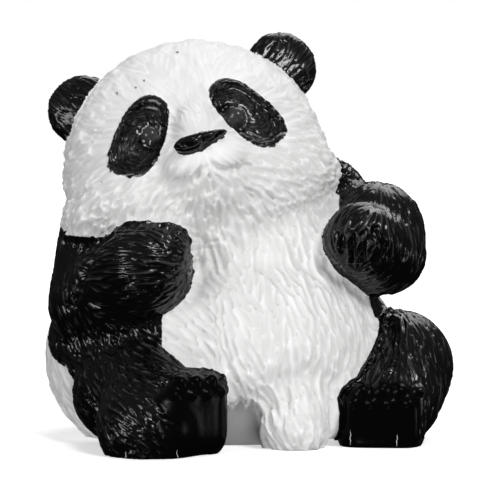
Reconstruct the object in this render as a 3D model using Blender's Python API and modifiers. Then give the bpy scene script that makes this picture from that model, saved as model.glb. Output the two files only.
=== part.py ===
"""Seated panda figurine, cast and painted as one solid piece.

The figure sits on a flat underside at z = 0, with its face towards -Y and +Z up. Every place and size below
is a share of the figure's height, in per cent, so one driving dimension sets the whole figure. Left and
right are the animal's own: its right arm and leg are on the -X side.
"""

import math
from collections import namedtuple

import bmesh
import bpy
import numpy as np
from mathutils import Euler, Matrix, Vector, kdtree

# Driving dimension, in metres
HEIGHT = 0.120
SHARE = HEIGHT / 100

# How fine the solid is
VOXEL = 0.85
SOFT_STEPS = 22
CRISP_STEPS = 4
TRIANGLES = 8500

# The solids that the figure is modelled from: places and sizes in per cent of the height, turns in degrees
Ball = namedtuple("Ball", "place radii turn", defaults=[(0, 0, 0)])
Block = namedtuple("Block", "place halves rounding turn")
Knob = namedtuple("Knob", "place radius")

# The head tilts towards the figure's right shoulder, turns to its left and looks up a little
HEAD_PLACE = (-13.2, 0, 63.4)
HEAD_ROLL = 12.5
HEAD_PITCH = 18
HEAD_YAW = 8

# Places on the head, in its own axes
EAR_PLACE = (26.1, -4, 24.6)
EAR_SHIFT = 2.3
EAR_RADII = (9.3, 4.0, 9.4)
EAR_TURN = 10
PATCH_PLACE = (13.4, 8.1)
PATCH_HALF_LENGTH = 10.9
PATCH_HALF_WIDTH = 6.2
PATCH_SLANT = 33
PATCH_FULLNESS = 3
PATCH_FLARE = 0.12
PATCH_DEPTH = 0.9
PATCH_RIM = 0.45
PATCH_RIM_PLACE = 1.15
PATCH_RIM_REACH = 0.13
EYEBALL_PLACE = (10.7, -27.0, 7.2)
EYEBALL_SHIFT = -0.35
EYEBALL_RADIUS = 2.5
SOCKET_RADIUS = 4.2
SOCKET_DEPTH = 1.3
NOSE_PLACE = (-2.9, -37.0, 0.2)
NOSE_RADII = (4.9, 2.8, 2.1)
NOSE_WING_PLACE = (2.6, -36.7, 1.3)
NOSE_WING_RADII = (3.9, 2.6, 1.1)
NOSE_BRIDGE_PLACE = (-0.2, -36.9, 0.85)
NOSE_BRIDGE_RADII = (4.2, 2.7, 1.7)
FUR_ROOT = (-0.4, -37.4, 0.6)
NOSE_EDGE = 0.4
MOUTH_DROP = 5.5
MOUTH_SAG = 2.2
MOUTH_FALL = 1.5
MOUTH_HALF_WIDTH = 9.5
MOUTH_DEPTH = 0.7
MOUTH_REACH = 1.1

# The black band that crosses the back between the two arms
BAND_MIDDLE = 46
BAND_SLOPE = 0.17
BAND_HALF_HEIGHT = 8.5
BAND_FRONT = -4

# The hollows in the base on both sides of the tuft: how high they reach, how wavy the lip above them is, how
# much they narrow upwards, how deep they go, and where they lie
BASE_HOLLOW_TOP = 11.0
BASE_HOLLOW_WAVE = 1.1
BASE_HOLLOW_LEAN = 0.22
BASE_HOLLOW_DEPTH = 2.6
BASE_HOLLOWS = [(-9, 3.2), (20.4, 27)]

# The black paint also fills the creases between the arms and the legs; the right one ends before the belly
CREASE_REACH = 7.5
CREASE_END = -21
LEFT_CREASE_REACH = 6.0

# Locks of carved fur: teardrop scoops that lie along the flow of the fur, with their gaps as shares of them
Strokes = namedtuple("Strokes", "length width depth")
LOCK_LENGTH = 13
LOCK_WIDTH = 6.4
LOCK_DEPTH = 1.0
LOCKS = Strokes(LOCK_LENGTH, LOCK_WIDTH, LOCK_DEPTH)
FLOW_SWING = 0.35
GAP_ALONG = 0.5
GAP_ACROSS = 0.62

# Rows of toes along the top of each sole: how many, their size, how far down, and how deep they are sunk
ToeRow = namedtuple("ToeRow", "number radius drop sink")
TOE_ROWS = [ToeRow(5, 1.9, 2.6, 1.2), ToeRow(4, 1.5, 5.4, 0.9)]

# Grooves across the arms, as points in the figure's width and height: the crease of the right elbow, the
# edge of the left paw and the gaps between its fingers
ARM_GROOVES = [
    [(-33.7, 52.7), (-36.6, 50.2), (-40.3, 43.3), (-42.3, 37.5), (-44, 34)],
    [(30.7, 53.4), (33.1, 48.5), (31.6, 45.1), (28.3, 43.7), (24.4, 43.5)],
    [(22, 51.9), (22.7, 44.9)],
    [(24.6, 51.9), (25.1, 44.9)],
    [(27.3, 51.9), (27.5, 45.1)],
]
GROOVE_DEPTH = 1.1
GROOVE_REACH = 0.75

# The two paints
WHITE = (0.85, 0.85, 0.84)
WHITE_ROUGHNESS = 0.45
BLACK = (0.012, 0.012, 0.012)
BLACK_ROUGHNESS = 0.3


def turned(turn):
    return Euler([math.radians(angle) for angle in turn]).to_matrix().to_4x4()


def head_matrix():
    """From the head's own axes (face towards -Y) to the figure's."""
    roll = Matrix.Rotation(math.radians(-HEAD_ROLL), 4, "Y")
    pitch = Matrix.Rotation(math.radians(-HEAD_PITCH), 4, "X")
    yaw = Matrix.Rotation(math.radians(HEAD_YAW), 4, "Z")
    return Matrix.Translation(HEAD_PLACE) @ yaw @ roll @ pitch


HEAD = head_matrix()


def on_head(place, radii, turn=(0, 0, 0)):
    """A ball given in the head's own axes."""
    whole = HEAD @ Matrix.Translation(place) @ turned(turn)
    return Ball(tuple(whole.translation), radii, tuple(math.degrees(a) for a in whole.to_euler()))


def pair_on_head(place, radii, turn, shift):
    """Two balls, mirrored about the head's middle plane, then both moved sideways by the shift."""
    x, y, z = place
    return [on_head((side * x + shift, y, z), radii, (0, 0, side * turn)) for side in (-1, 1)]


TORSO = [
    Ball((-7, 3, 20), (45.6, 36, 33)),
    Ball((2, -7, 25), (30, 28.5, 25)),
    Ball((2, -8, 8), (24, 17, 16)),
    Ball((-3, 4, 45), (36, 28, 27)),
]
SKULL = [
    on_head((0.8, 1, 3.5), (34.4, 30.5, 34.4)),
    on_head((0, -2, -4.5), (36.5, 29.5, 19.2)),
    on_head((0, -23, -4), (17, 10, 12)),
    on_head((0, -27.8, -3.4), (12, 9.6, 8.7)),
    on_head((0, -25, -9), (9.5, 8, 6.5)),
    on_head((0, -26, 5), (6.5, 8.5, 9)),
]
TUFT = Ball((11.2, -25, 7.5), (10, 10.5, 13))
EARS = pair_on_head(EAR_PLACE, EAR_RADII, EAR_TURN, EAR_SHIFT)
RIGHT_ARM = [
    Knob((-35.4, -6, 48.6), 12.9),
    Knob((-37.6, -10, 34.2), 12.9),
    Knob((-25.5, -26.5, 43.8), 12.0),
    Knob((-20, -28.5, 48.8), 6.4),
]
LEFT_SHOULDER = Ball((19.5, 4, 59.4), (11.4,) * 3)
LEFT_ARM = [
    Knob((31.7, -4, 51.8), 12.9),
    Knob((33.9, -9, 46.3), 10.8),
    Knob((27.4, -19.5, 50.8), 9.2),
]
RIGHT_LEG = [
    Knob((-30, -17, 13), 14),
    Knob((-24.5, -25, 17), 10.8),
    Knob((-23.5, -36, 6.8), 13.4),
]
LEFT_LEG = [
    Knob((37, -4, 17.5), 15),
    Knob((35.3, -14.5, 11), 12.6),
]
RIGHT_FOOT = Block((-15, -37, 9.3), (10.4, 6.5, 11), 6, (0, 0, 33))
LEFT_FOOT = Block((32.4, -21.3, 6.8), (11, 6.5, 9.6), 5.5, (0, 0, -4))
NOSE = [
    on_head(NOSE_PLACE, NOSE_RADII),
    on_head(NOSE_BRIDGE_PLACE, NOSE_BRIDGE_RADII),
    on_head(NOSE_WING_PLACE, NOSE_WING_RADII),
]
EYEBALLS = pair_on_head(EYEBALL_PLACE, (EYEBALL_RADIUS,) * 3, 0, EYEBALL_SHIFT)
ELBOW_CREASE = (-38, -18, 40)


def toes(foot):
    """Rows of small balls along the top of the sole; each row fits between the toes of the row above."""
    x, y, z = foot.halves
    whole = Matrix.Translation(foot.place) @ turned(foot.turn)
    gap = 2 * (x - TOE_ROWS[0].radius) / (TOE_ROWS[0].number - 1)
    balls = []
    for row in TOE_ROWS:
        up = max(foot.rounding - row.drop, 0)
        for number in range(row.number):
            across = gap * (number - (row.number - 1) / 2)
            over = max(abs(across) - x + foot.rounding, 0)
            behind = foot.rounding - math.sqrt(foot.rounding**2 - over**2 - up**2)
            place = Vector((across, behind + row.sink - y, z - row.drop))
            balls.append(Ball(tuple(whole @ place), (row.radius,) * 3))
    return balls


def add_ball(mesh, ball):
    shape = Matrix.Translation(ball.place) @ turned(ball.turn) @ Matrix.Diagonal((*ball.radii, 1))
    bmesh.ops.create_icosphere(mesh, subdivisions=4, radius=1, matrix=Matrix.Scale(SHARE, 4) @ shape)


def add_hull(mesh, balls):
    """The convex hull of some balls: a straight stretch of a limb, or a rounded block."""
    hull = bmesh.new()
    for ball in balls:
        add_ball(hull, ball)
    made = bmesh.ops.convex_hull(hull, input=hull.verts)
    spare = [v for v in made["geom_interior"] if isinstance(v, bmesh.types.BMVert)]
    bmesh.ops.delete(hull, geom=spare, context="VERTS")
    stretch = bpy.data.meshes.new("stretch")
    hull.to_mesh(stretch)
    hull.free()
    mesh.from_mesh(stretch)
    bpy.data.meshes.remove(stretch)


def add_limb(mesh, knobs):
    balls = [Ball(knob.place, (knob.radius,) * 3) for knob in knobs]
    for pair in zip(balls, balls[1:]):
        add_hull(mesh, pair)


def add_block(mesh, block):
    whole = Matrix.Translation(block.place) @ turned(block.turn)
    reach = [half - block.rounding for half in block.halves]
    signs = [(x, y, z) for x in (-1, 1) for y in (-1, 1) for z in (-1, 1)]
    corners = [Vector([s * r for s, r in zip(sign, reach)]) for sign in signs]
    add_hull(mesh, [Ball(tuple(whole @ corner), (block.rounding,) * 3) for corner in corners])


def applied(figure):
    """Replaces the object's mesh with its evaluated one and clears its modifiers."""
    graph = bpy.context.evaluated_depsgraph_get()
    mesh = bpy.data.meshes.new_from_object(figure.evaluated_get(graph))
    old = figure.data
    figure.modifiers.clear()
    figure.data = mesh
    bpy.data.meshes.remove(old)


def joined(figure, masses, steps):
    """Makes the masses the object's mesh, as one skin that is smooth where they meet."""
    masses.to_mesh(figure.data)
    masses.free()
    skin = figure.modifiers.new("one_skin", "REMESH")
    skin.mode = "VOXEL"
    skin.voxel_size = VOXEL * SHARE
    smooth = figure.modifiers.new("soft_joins", "SMOOTH")
    smooth.factor = 0.5
    smooth.iterations = steps
    applied(figure)


def points_of(mesh):
    """The mesh's points, in per cent of the height, and their normals."""
    points = np.empty(len(mesh.vertices) * 3)
    mesh.vertices.foreach_get("co", points)
    normals = np.empty(len(mesh.vertices) * 3)
    mesh.vertices.foreach_get("normal", normals)
    return points.reshape(-1, 3) / SHARE, normals.reshape(-1, 3)


def raise_points(mesh, heights):
    """Moves the points along their normals by heights in per cent of the figure's height."""
    points, normals = points_of(mesh)
    moved = (points + normals * heights[:, None]) * SHARE
    mesh.vertices.foreach_set("co", moved.ravel())
    mesh.update()


def ramp(values, low, high):
    """A smooth step from 0 at low to 1 at high."""
    share = np.clip((values - low) / (high - low), 0, 1)
    return share * share * (3 - 2 * share)


def unit(vectors):
    return vectors / np.maximum(np.linalg.norm(vectors, axis=-1, keepdims=True), 1e-9)


def in_axes(points, place, turn):
    return (points - np.array(place)) @ np.array(turned(turn).to_3x3())


def on_face(points):
    """The points in the head's own axes."""
    return (points - np.array(HEAD.translation)) @ np.array(HEAD.to_3x3())


def from_ball(points, ball):
    """About how far each point is outside the ball."""
    shares = in_axes(points, ball.place, ball.turn) / np.array(ball.radii)
    reach = np.linalg.norm(shares, axis=1)
    slope = np.linalg.norm(shares / np.array(ball.radii), axis=1)
    return reach * (reach - 1) / np.maximum(slope, 1e-9)


def from_block(points, block):
    inner = np.array(block.halves) - block.rounding
    outside = np.maximum(np.abs(in_axes(points, block.place, block.turn)) - inner, 0)
    return np.linalg.norm(outside, axis=1) - block.rounding


def from_limb(points, knobs):
    nearest = np.full(len(points), np.inf)
    for start, end in zip(knobs, knobs[1:]):
        foot = np.array(start.place)
        span = np.array(end.place) - foot
        part = np.clip((points - foot) @ span / (span @ span), 0, 1)
        radius = start.radius + (end.radius - start.radius) * part
        away = np.linalg.norm(points - foot - part[:, None] * span, axis=1) - radius
        nearest = np.minimum(nearest, away)
    return nearest


def from_parts(points):
    """How far each point is outside each part."""
    away = {
        "torso": np.min([from_ball(points, ball) for ball in TORSO], axis=0),
        "head": np.min([from_ball(points, ball) for ball in SKULL], axis=0),
        "tuft": from_ball(points, TUFT),
        "ears": np.min([from_ball(points, ear) for ear in EARS], axis=0),
    }
    limbs = {"right_arm": RIGHT_ARM, "left_arm": LEFT_ARM, "right_leg": RIGHT_LEG, "left_leg": LEFT_LEG}
    for name, knobs in limbs.items():
        away[name] = from_limb(points, knobs)
    away["left_arm"] = np.minimum(away["left_arm"], from_ball(points, LEFT_SHOULDER))
    away["right_leg"] = np.minimum(away["right_leg"], from_block(points, RIGHT_FOOT))
    away["left_leg"] = np.minimum(away["left_leg"], from_block(points, LEFT_FOOT))
    return away


def from_nose(points):
    return np.min([from_ball(points, ball) for ball in NOSE], axis=0)


def from_line(places, corners):
    """How far each place is from a line through the corners."""
    away = []
    for start, end in zip(np.array(corners, float), np.array(corners, float)[1:]):
        span = end - start
        part = np.clip((places - start) @ span / (span @ span), 0, 1)
        away.append(np.linalg.norm(places - start - part[:, None] * span, axis=1))
    return np.min(away, axis=0)


def patch_reach(points):
    """The distance from the middle of the nearer eye patch, as a share of its outline: 1 on its edge."""
    face = on_face(points)
    slant = math.radians(PATCH_SLANT)
    across = np.abs(face[:, 0]) - PATCH_PLACE[0]
    up = face[:, 2] - PATCH_PLACE[1]
    long = (across * math.sin(slant) - up * math.cos(slant)) / PATCH_HALF_LENGTH
    wide = (across * math.cos(slant) + up * math.sin(slant)) / (PATCH_HALF_WIDTH * (1 + PATCH_FLARE * long))
    reach = (np.abs(long) ** PATCH_FULLNESS + np.abs(wide) ** PATCH_FULLNESS) ** (1 / PATCH_FULLNESS)
    return np.where(face[:, 1] < -8, reach, 9.0)


def paint_margin(points):
    """How far each point is inside the black paint; it is below 0 where the paint is white."""
    away = from_parts(points)
    white = np.minimum(away["torso"], np.minimum(away["head"], away["tuft"]))
    black = np.min([away[name] for name in away if name not in ("torso", "head", "tuft")], axis=0)
    margin = white - black
    band = BAND_HALF_HEIGHT - np.abs(points[:, 2] - BAND_MIDDLE - BAND_SLOPE * points[:, 0])
    band = np.minimum(band, points[:, 1] - BAND_FRONT)
    band = np.minimum(band, away["head"] - away["torso"])
    crease = np.minimum(CREASE_REACH - away["right_arm"] - away["right_leg"], CREASE_END - points[:, 0])
    crease = np.maximum(crease, LEFT_CREASE_REACH - away["left_arm"] - away["left_leg"])
    patches = (1 - patch_reach(points)) * PATCH_HALF_WIDTH
    nose = NOSE_EDGE - from_nose(points)
    return np.max([margin, band, crease, patches, nose], axis=0)


def fur_flow(points, normals, away):
    """Which way the fur runs at each point, along the surface."""
    names = list(away)
    nearest = np.argmin([away[name] for name in names], axis=0)
    x, y, z = points.T
    still = np.zeros(len(points))
    nose = np.array(HEAD @ Vector(FUR_ROOT))
    back = ramp(y, 5, 25)[:, None]
    fan = ramp(-x, -8, 28) * ramp(-z, -60, -30) * ramp(-y, 0, 15)
    paw = ramp(x, -36, -18)[:, None]
    from_elbow = unit(points - np.array(ELBOW_CREASE)) * (1 - paw) + np.array((0.9, -0.3, -0.05)) * paw
    forearm = ramp(x - 0.6 * y, -34, -24)[:, None]
    runs = {
        "head": unit(points - nose) * (1 - back) + np.array((0, 0, -1.5)) * back,
        "ears": unit(points - np.array(HEAD_PLACE)),
        "torso": np.stack([0.15 + 0.9 * fan, still, -1 + 0.45 * fan], axis=1),
        "tuft": np.stack([still + 0.25, still, still - 1], axis=1),
        "right_arm": np.array((0.25, -0.2, -1)) * (1 - forearm) + from_elbow * forearm,
        "left_arm": np.stack([-0.7 * ramp(-x, -38, -26), still - 0.2, still - 1], axis=1),
        "right_leg": np.stack([0.35 + 0.5 * ramp(x, -40, -25), still - 0.3, still - 0.7], axis=1),
        "left_leg": np.stack([-0.3 * ramp(-x, -40, -28), still - 0.3, still - 1], axis=1),
    }
    flow = np.zeros_like(points)
    for number, name in enumerate(names):
        here = nearest == number
        flow[here] = runs[name][here]
    flow -= normals * np.sum(flow * normals, axis=1, keepdims=True)
    turn = FLOW_SWING * np.sin(0.45 * x + 2 * np.sin(0.31 * z + 0.2 * y)) * np.sin(0.38 * z - 0.3 * y)
    flow = unit(flow) + turn[:, None] * np.cross(normals, unit(flow))
    return unit(flow)


def drawn(cubes, salt):
    """Three numbers from 0 to 1 for each cube of a grid, the same at every run."""
    mixed = cubes @ np.array(((127.1, 269.5, 113.5), (311.7, 183.3, 271.9), (74.7, 246.1, 124.6)))
    return np.modf(np.sin(mixed + salt) * 43758.5453)[0] % 1


def scattered(points, spacing):
    """The numbers of some points, shuffled: in each cube of a grid, the one nearest to a place drawn in it."""
    cubes = np.floor(points / spacing).astype(int)
    away = np.linalg.norm(points / spacing - cubes - drawn(cubes, 0.5), axis=1)
    order = np.lexsort((away, *cubes.T))
    first = np.ones(len(order), bool)
    first[1:] = np.any(np.diff(cubes[order], axis=0) != 0, axis=1)
    picked = order[first]
    return picked[np.argsort(drawn(cubes[picked], 2.5)[:, 0])]


def scooped(points, normals, flow, strokes, chosen, tree):
    """The depth at each point of teardrop scoops among the chosen points, with thin ridges between them."""
    heights = np.zeros(len(points))
    taken = np.zeros(len(points), bool)
    centres = np.flatnonzero(chosen)[scattered(points[chosen], 0.35 * strokes.width)]
    sizes = 0.75 + 0.5 * drawn(points[centres], 1.5)
    for centre, (size, deep, swing) in zip(centres, sizes):
        if taken[centre]:
            continue
        length = strokes.length * size
        found = tree.find_range(points[centre], 0.6 * length)
        near = np.array([number for _, number, _ in found])
        offset = points[near] - points[centre]
        aside = np.cross(normals[centre], flow[centre])
        run = flow[centre] + 0.4 * (swing - 1) * aside
        run /= np.linalg.norm(run)
        aside = np.cross(normals[centre], run)
        along = offset @ run / length
        part = np.clip(along + 0.5, 0, 1)
        bow = 0.16 * length * (swing - 1) * (2 * part - 1) ** 2
        across = (offset @ aside - bow) / (strokes.width * size)
        facing = normals[near] @ normals[centre]
        taken[near[((along / GAP_ALONG) ** 2 + (across / GAP_ACROSS) ** 2 < 1) & (facing > 0)]] = True
        drop = np.sqrt(np.maximum(part * (1 - part**6), 1e-9))
        bowl = np.clip(1 - (across / (0.62 * drop)) ** 2, 0, 1) * np.sqrt(part)
        bowl *= ramp(facing, 0.2, 0.7)
        heights[near] = np.minimum(heights[near], -strokes.depth * deep * bowl)
    return heights


def hollow_eyes(mesh):
    """Sinks the two eye patches, with a low rim round them and a deeper socket at each eyeball."""
    points, _ = points_of(mesh)
    reach = patch_reach(points)
    heights = -PATCH_DEPTH * ramp(-reach, -1.05, -0.75)
    heights += PATCH_RIM * np.exp(-(((reach - PATCH_RIM_PLACE) / PATCH_RIM_REACH) ** 2))
    for ball in EYEBALLS:
        away = np.linalg.norm(points - np.array(ball.place), axis=1)
        heights -= SOCKET_DEPTH * ramp(-away, -SOCKET_RADIUS, -0.5 * SOCKET_RADIUS)
    raise_points(mesh, heights)


def base_hollow(points):
    """How far into the hollows beside the tuft each point is, from 0 to 1."""
    x, y, z = points.T
    (low, near), (far, high) = BASE_HOLLOWS
    lean = BASE_HOLLOW_LEAN * z
    inside = ramp(x, low - 1, low) * ramp(-x, -near - 1 + lean, -near + lean)
    inside = np.maximum(inside, ramp(x, far - 1 + lean, far + lean) * ramp(-x, -high - 1, -high))
    top = BASE_HOLLOW_TOP + BASE_HOLLOW_WAVE * np.sin(1.9 * x + np.sin(0.7 * x))
    return inside * ramp(top - z, -0.6, 0.6) * (y < -12)


def hollow_base(mesh):
    """Sinks the smooth base between each foot and the tuft, under the lip of the belly's fur."""
    points, _ = points_of(mesh)
    away = from_parts(points)
    torso = away["torso"] - np.min([away[name] for name in away if name != "torso"], axis=0)
    raise_points(mesh, -BASE_HOLLOW_DEPTH * base_hollow(points) * ramp(-torso, -1, 0.5))


def groove_arms(mesh):
    points, _ = points_of(mesh)
    away = from_parts(points)
    arms = np.minimum(away["right_arm"], away["left_arm"])
    lines = np.min([from_line(points[:, [0, 2]], corners) for corners in ARM_GROOVES], axis=0)
    near = np.exp(-((lines / GROOVE_REACH) ** 2)) * (arms < 1) * (points[:, 1] < -5)
    raise_points(mesh, -GROOVE_DEPTH * near)


def groove_mouth(mesh):
    """Cuts the groove under the nose and the two curves of the mouth."""
    points, _ = points_of(mesh)
    face = on_face(points)
    half = np.clip(np.abs(face[:, 0]) / MOUTH_HALF_WIDTH, 0, 1)
    line = -MOUTH_DROP - MOUTH_SAG * np.sin(np.pi * half) - MOUTH_FALL * half
    lips = np.hypot(face[:, 2] - line, np.maximum(np.abs(face[:, 0]) - MOUTH_HALF_WIDTH, 0))
    middle = np.hypot(face[:, 0], np.maximum(np.abs(face[:, 2] + 0.5 * MOUTH_DROP) - 0.5 * MOUTH_DROP, 0))
    near = np.exp(-((np.minimum(lips, middle) / MOUTH_REACH) ** 2))
    raise_points(mesh, -MOUTH_DEPTH * near * ramp(-face[:, 1], 26, 31))


def carve_fur(mesh):
    """Cuts the locks of fur, and leaves the eye patches, the nose, the soles and the base smooth."""
    points, normals = points_of(mesh)
    away = from_parts(points)
    tree = kdtree.KDTree(len(points))
    for number, point in enumerate(points):
        tree.insert(point, number)
    tree.balance()
    flow = fur_flow(points, normals, away)
    furry = patch_reach(points) > 1.1
    heights = scooped(points, normals, flow, LOCKS, furry, tree)
    bare = ramp(patch_reach(points), 1.0, 1.3) * ramp(from_nose(points), 0.5, 3) * ramp(points[:, 2], 0, 4)
    for foot in (RIGHT_FOOT, LEFT_FOOT):
        sole = in_axes(points, foot.place, foot.turn)[:, 1] + foot.halves[1]
        bare *= np.maximum(ramp(sole, 1, 4), ramp(from_block(points, foot), 1, 3))
    raise_points(mesh, heights * bare * (1 - base_hollow(points)))


def sit_flat(mesh):
    """Cuts the figure off flat at z = 0 and closes the cut."""
    shape = bmesh.new()
    shape.from_mesh(mesh)
    everything = shape.verts[:] + shape.edges[:] + shape.faces[:]
    cut = bmesh.ops.bisect_plane(shape, geom=everything, plane_no=(0, 0, 1), clear_inner=True)
    rim = [e for e in cut["geom_cut"] if isinstance(e, bmesh.types.BMEdge)]
    bmesh.ops.edgenet_fill(shape, edges=rim)
    bmesh.ops.triangulate(shape, faces=shape.faces[:])
    bmesh.ops.recalc_face_normals(shape, faces=shape.faces[:])
    shape.to_mesh(mesh)
    shape.free()


def thin_out(figure):
    """Brings the triangles down to the number that the solid may have."""
    figure.data.calc_loop_triangles()
    fewer = figure.modifiers.new("fewer_triangles", "DECIMATE")
    fewer.ratio = TRIANGLES / len(figure.data.loop_triangles)
    applied(figure)


def paint(name, colour, roughness):
    made = bpy.data.materials.new(name)
    made.use_nodes = True
    shader = made.node_tree.nodes["Principled BSDF"]
    shader.inputs["Base Color"].default_value = (*colour, 1)
    shader.inputs["Roughness"].default_value = roughness
    made.diffuse_color = (*colour, 1)
    return made


def cut_paint_border(mesh):
    """Splits the triangles where the two paints meet, so that the border runs along edges."""
    margins = paint_margin(points_of(mesh)[0])
    shape = bmesh.new()
    shape.from_mesh(mesh)
    places = {}
    for edge in shape.edges:
        start, end = (margins[v.index] for v in edge.verts)
        if start * end < 0:
            places[edge] = min(max(start / (start - end), 0.15), 0.85)
    made = bmesh.ops.bisect_edges(shape, edges=list(places), cuts=1, edge_percents=places)
    new = [v for v in made["geom_split"] if isinstance(v, bmesh.types.BMVert)]
    bmesh.ops.connect_verts(shape, verts=new)
    bmesh.ops.triangulate(shape, faces=shape.faces[:])
    shape.to_mesh(mesh)
    shape.free()


def paint_black_and_white(mesh):
    mesh.materials.append(paint("white_paint", WHITE, WHITE_ROUGHNESS))
    mesh.materials.append(paint("black_paint", BLACK, BLACK_ROUGHNESS))
    middles = np.array([face.center for face in mesh.polygons]) / SHARE
    black = paint_margin(middles) > 0
    mesh.polygons.foreach_set("material_index", black.astype(np.int32))


def build_figure(collection):
    figure = bpy.data.objects.new("panda_figurine", bpy.data.meshes.new("panda_figurine"))
    collection.objects.link(figure)
    masses = bmesh.new()
    for ball in TORSO + SKULL + [TUFT, LEFT_SHOULDER]:
        add_ball(masses, ball)
    for limb in (RIGHT_ARM, LEFT_ARM, RIGHT_LEG, LEFT_LEG):
        add_limb(masses, limb)
    for foot in (RIGHT_FOOT, LEFT_FOOT):
        add_block(masses, foot)
    joined(figure, masses, SOFT_STEPS)
    hollow_eyes(figure.data)
    hollow_base(figure.data)
    masses = bmesh.new()
    masses.from_mesh(figure.data)
    for ball in EARS + EYEBALLS + NOSE + toes(RIGHT_FOOT) + toes(LEFT_FOOT):
        add_ball(masses, ball)
    joined(figure, masses, CRISP_STEPS)
    groove_mouth(figure.data)
    groove_arms(figure.data)
    carve_fur(figure.data)
    thin_out(figure)
    cut_paint_border(figure.data)
    sit_flat(figure.data)
    paint_black_and_white(figure.data)
    figure.data.shade_smooth()


def clear_scene():
    for old in list(bpy.data.objects):
        bpy.data.objects.remove(old)


def main():
    clear_scene()
    parts = bpy.data.collections.new("panda_figurine")
    bpy.context.scene.collection.children.link(parts)
    build_figure(parts)


main()
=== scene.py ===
"""Looks of the seated panda figurine: carved fur, black and white paint, pale floor and studio light.

The piece is modelled from the same masses as the solid, in its place, with finer carving. Places and sizes
are in per cent of the figure's height, as they are for the solid. Left and right are the animal's own: its
right arm and leg are on the -X side, and its face looks towards -Y.
"""

import math
from collections import namedtuple

import bmesh
import bpy
import numpy as np
from mathutils import Euler, Matrix, Vector, kdtree


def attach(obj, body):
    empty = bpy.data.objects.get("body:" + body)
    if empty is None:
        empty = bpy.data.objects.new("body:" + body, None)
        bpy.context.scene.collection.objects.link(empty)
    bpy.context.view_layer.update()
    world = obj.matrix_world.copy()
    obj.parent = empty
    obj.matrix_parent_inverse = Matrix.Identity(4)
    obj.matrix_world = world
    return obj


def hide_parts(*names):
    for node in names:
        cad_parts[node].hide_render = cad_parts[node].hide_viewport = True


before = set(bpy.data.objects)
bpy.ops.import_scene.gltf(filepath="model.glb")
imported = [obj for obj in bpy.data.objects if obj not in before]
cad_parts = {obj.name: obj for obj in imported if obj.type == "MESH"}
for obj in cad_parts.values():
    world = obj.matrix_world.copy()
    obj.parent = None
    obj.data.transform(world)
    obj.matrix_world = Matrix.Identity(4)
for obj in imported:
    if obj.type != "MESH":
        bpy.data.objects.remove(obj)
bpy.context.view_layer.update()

# Driving dimension, in metres
HEIGHT = 0.120
SHARE = HEIGHT / 100

# How fine the piece is: sizes of the cubes that the masses are joined in, and the triangles that it keeps
SOFT_VOXEL = 0.85
FINE_VOXEL = 0.27
SOFT_STEPS = 22
CRISP_STEPS = 18
TRIANGLES = 197000

Ball = namedtuple("Ball", "place radii turn", defaults=[(0, 0, 0)])
Block = namedtuple("Block", "place halves rounding turn")
Knob = namedtuple("Knob", "place radius")

# The head tilts towards the figure's right shoulder, turns to its left and looks up a little
HEAD_PLACE = (-13.2, 0, 63.4)
HEAD_ROLL = 12.5
HEAD_PITCH = 18
HEAD_YAW = 8

# Places on the head, in its own axes; an eye patch's wall runs between two shares of its outline
EAR_PLACE = (26.1, -4, 24.6)
EAR_SHIFT = 2.3
EAR_RADII = (9.3, 4.0, 9.4)
EAR_TURN = 10
PATCH_PLACE = (13.4, 8.1)
PATCH_HALF_LENGTH = 10.9
PATCH_HALF_WIDTH = 6.2
PATCH_SLANT = 33
PATCH_FULLNESS = 2.7
PATCH_FLARE = 0.12
PATCH_DEPTH = 0.9
PATCH_FRONT = -8
PATCH_WALL = (0.95, 0.75)
EYEBALL_PLACE = (10.7, -27.0, 7.2)
EYEBALL_SHIFT = -0.35
EYEBALL_RADIUS = 2.5
SOCKET_RADIUS = 4.2
SOCKET_DEPTH = 1.3
NOSE_PLACE = (-2.9, -37.0, 0.2)
NOSE_RADII = (4.9, 2.8, 2.1)
NOSE_WING_PLACE = (2.6, -36.7, 1.3)
NOSE_WING_RADII = (3.9, 2.6, 1.1)
NOSE_BRIDGE_PLACE = (-0.2, -36.9, 0.85)
NOSE_BRIDGE_RADII = (4.2, 2.7, 1.7)
FUR_ROOT = (-0.4, -37.4, 0.6)
NOSE_EDGE = 0.4
MOUTH_DROP = 5.5
MOUTH_SAG = 2.2
MOUTH_FALL = 1.5
MOUTH_HALF_WIDTH = 9.5
MOUTH_DEPTH = 0.9
MOUTH_REACH = 1.1
MOUTH_FRONT = (-26, -31)

# A raised rim and the groove inside it follow each eye patch and the left leg's black edge: how far inside
# the edge each of the two lies, and how wide it is; then the rim's height and the groove's share of it
Rim = namedtuple("Rim", "crest crest_width groove groove_width")
PATCH_RIM = Rim(0.7, 0.55, 1.9, 0.4)
LEG_RIM = Rim(1.0, 0.5, 2.2, 0.5)
LEG_RIM_REACH = 1.5
RIM_HEIGHT = 0.45
RIM_GROOVE = 0.6
FAR = 9.0

# The black band that crosses the back between the two arms
BAND_MIDDLE = 46
BAND_SLOPE = 0.17
BAND_HALF_HEIGHT = 8.5
BAND_FRONT = -4

# The hollows in the base on both sides of the tuft: how high they reach, how wavy the lip above them is, how
# much they narrow upwards, how deep they go, how thick their walls and their lip are, and where they lie
BASE_HOLLOW_TOP = 11.0
BASE_HOLLOW_WAVE = 1.1
BASE_HOLLOW_WAVES = (1.9, 0.7)
BASE_HOLLOW_LEAN = 0.22
BASE_HOLLOW_DEPTH = 2.6
BASE_HOLLOW_WALL = 1
BASE_HOLLOW_LIP = 0.6
BASE_HOLLOW_SKIN = (1, -0.5)
BASE_HOLLOW_FRONT = -12
BASE_HOLLOWS = [(-9, 3.2), (20.4, 27)]

# The black paint also fills the creases between the arms and the legs; the right one ends before the belly
CREASE_REACH = 7.5
CREASE_END = -21
LEFT_CREASE_REACH = 6.0

# The black paint of the right shoulder ends level under the cheek
SHOULDER_TOP = 51.2
SHOULDER_END = -30
SHOULDER_REACH = 5

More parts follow.
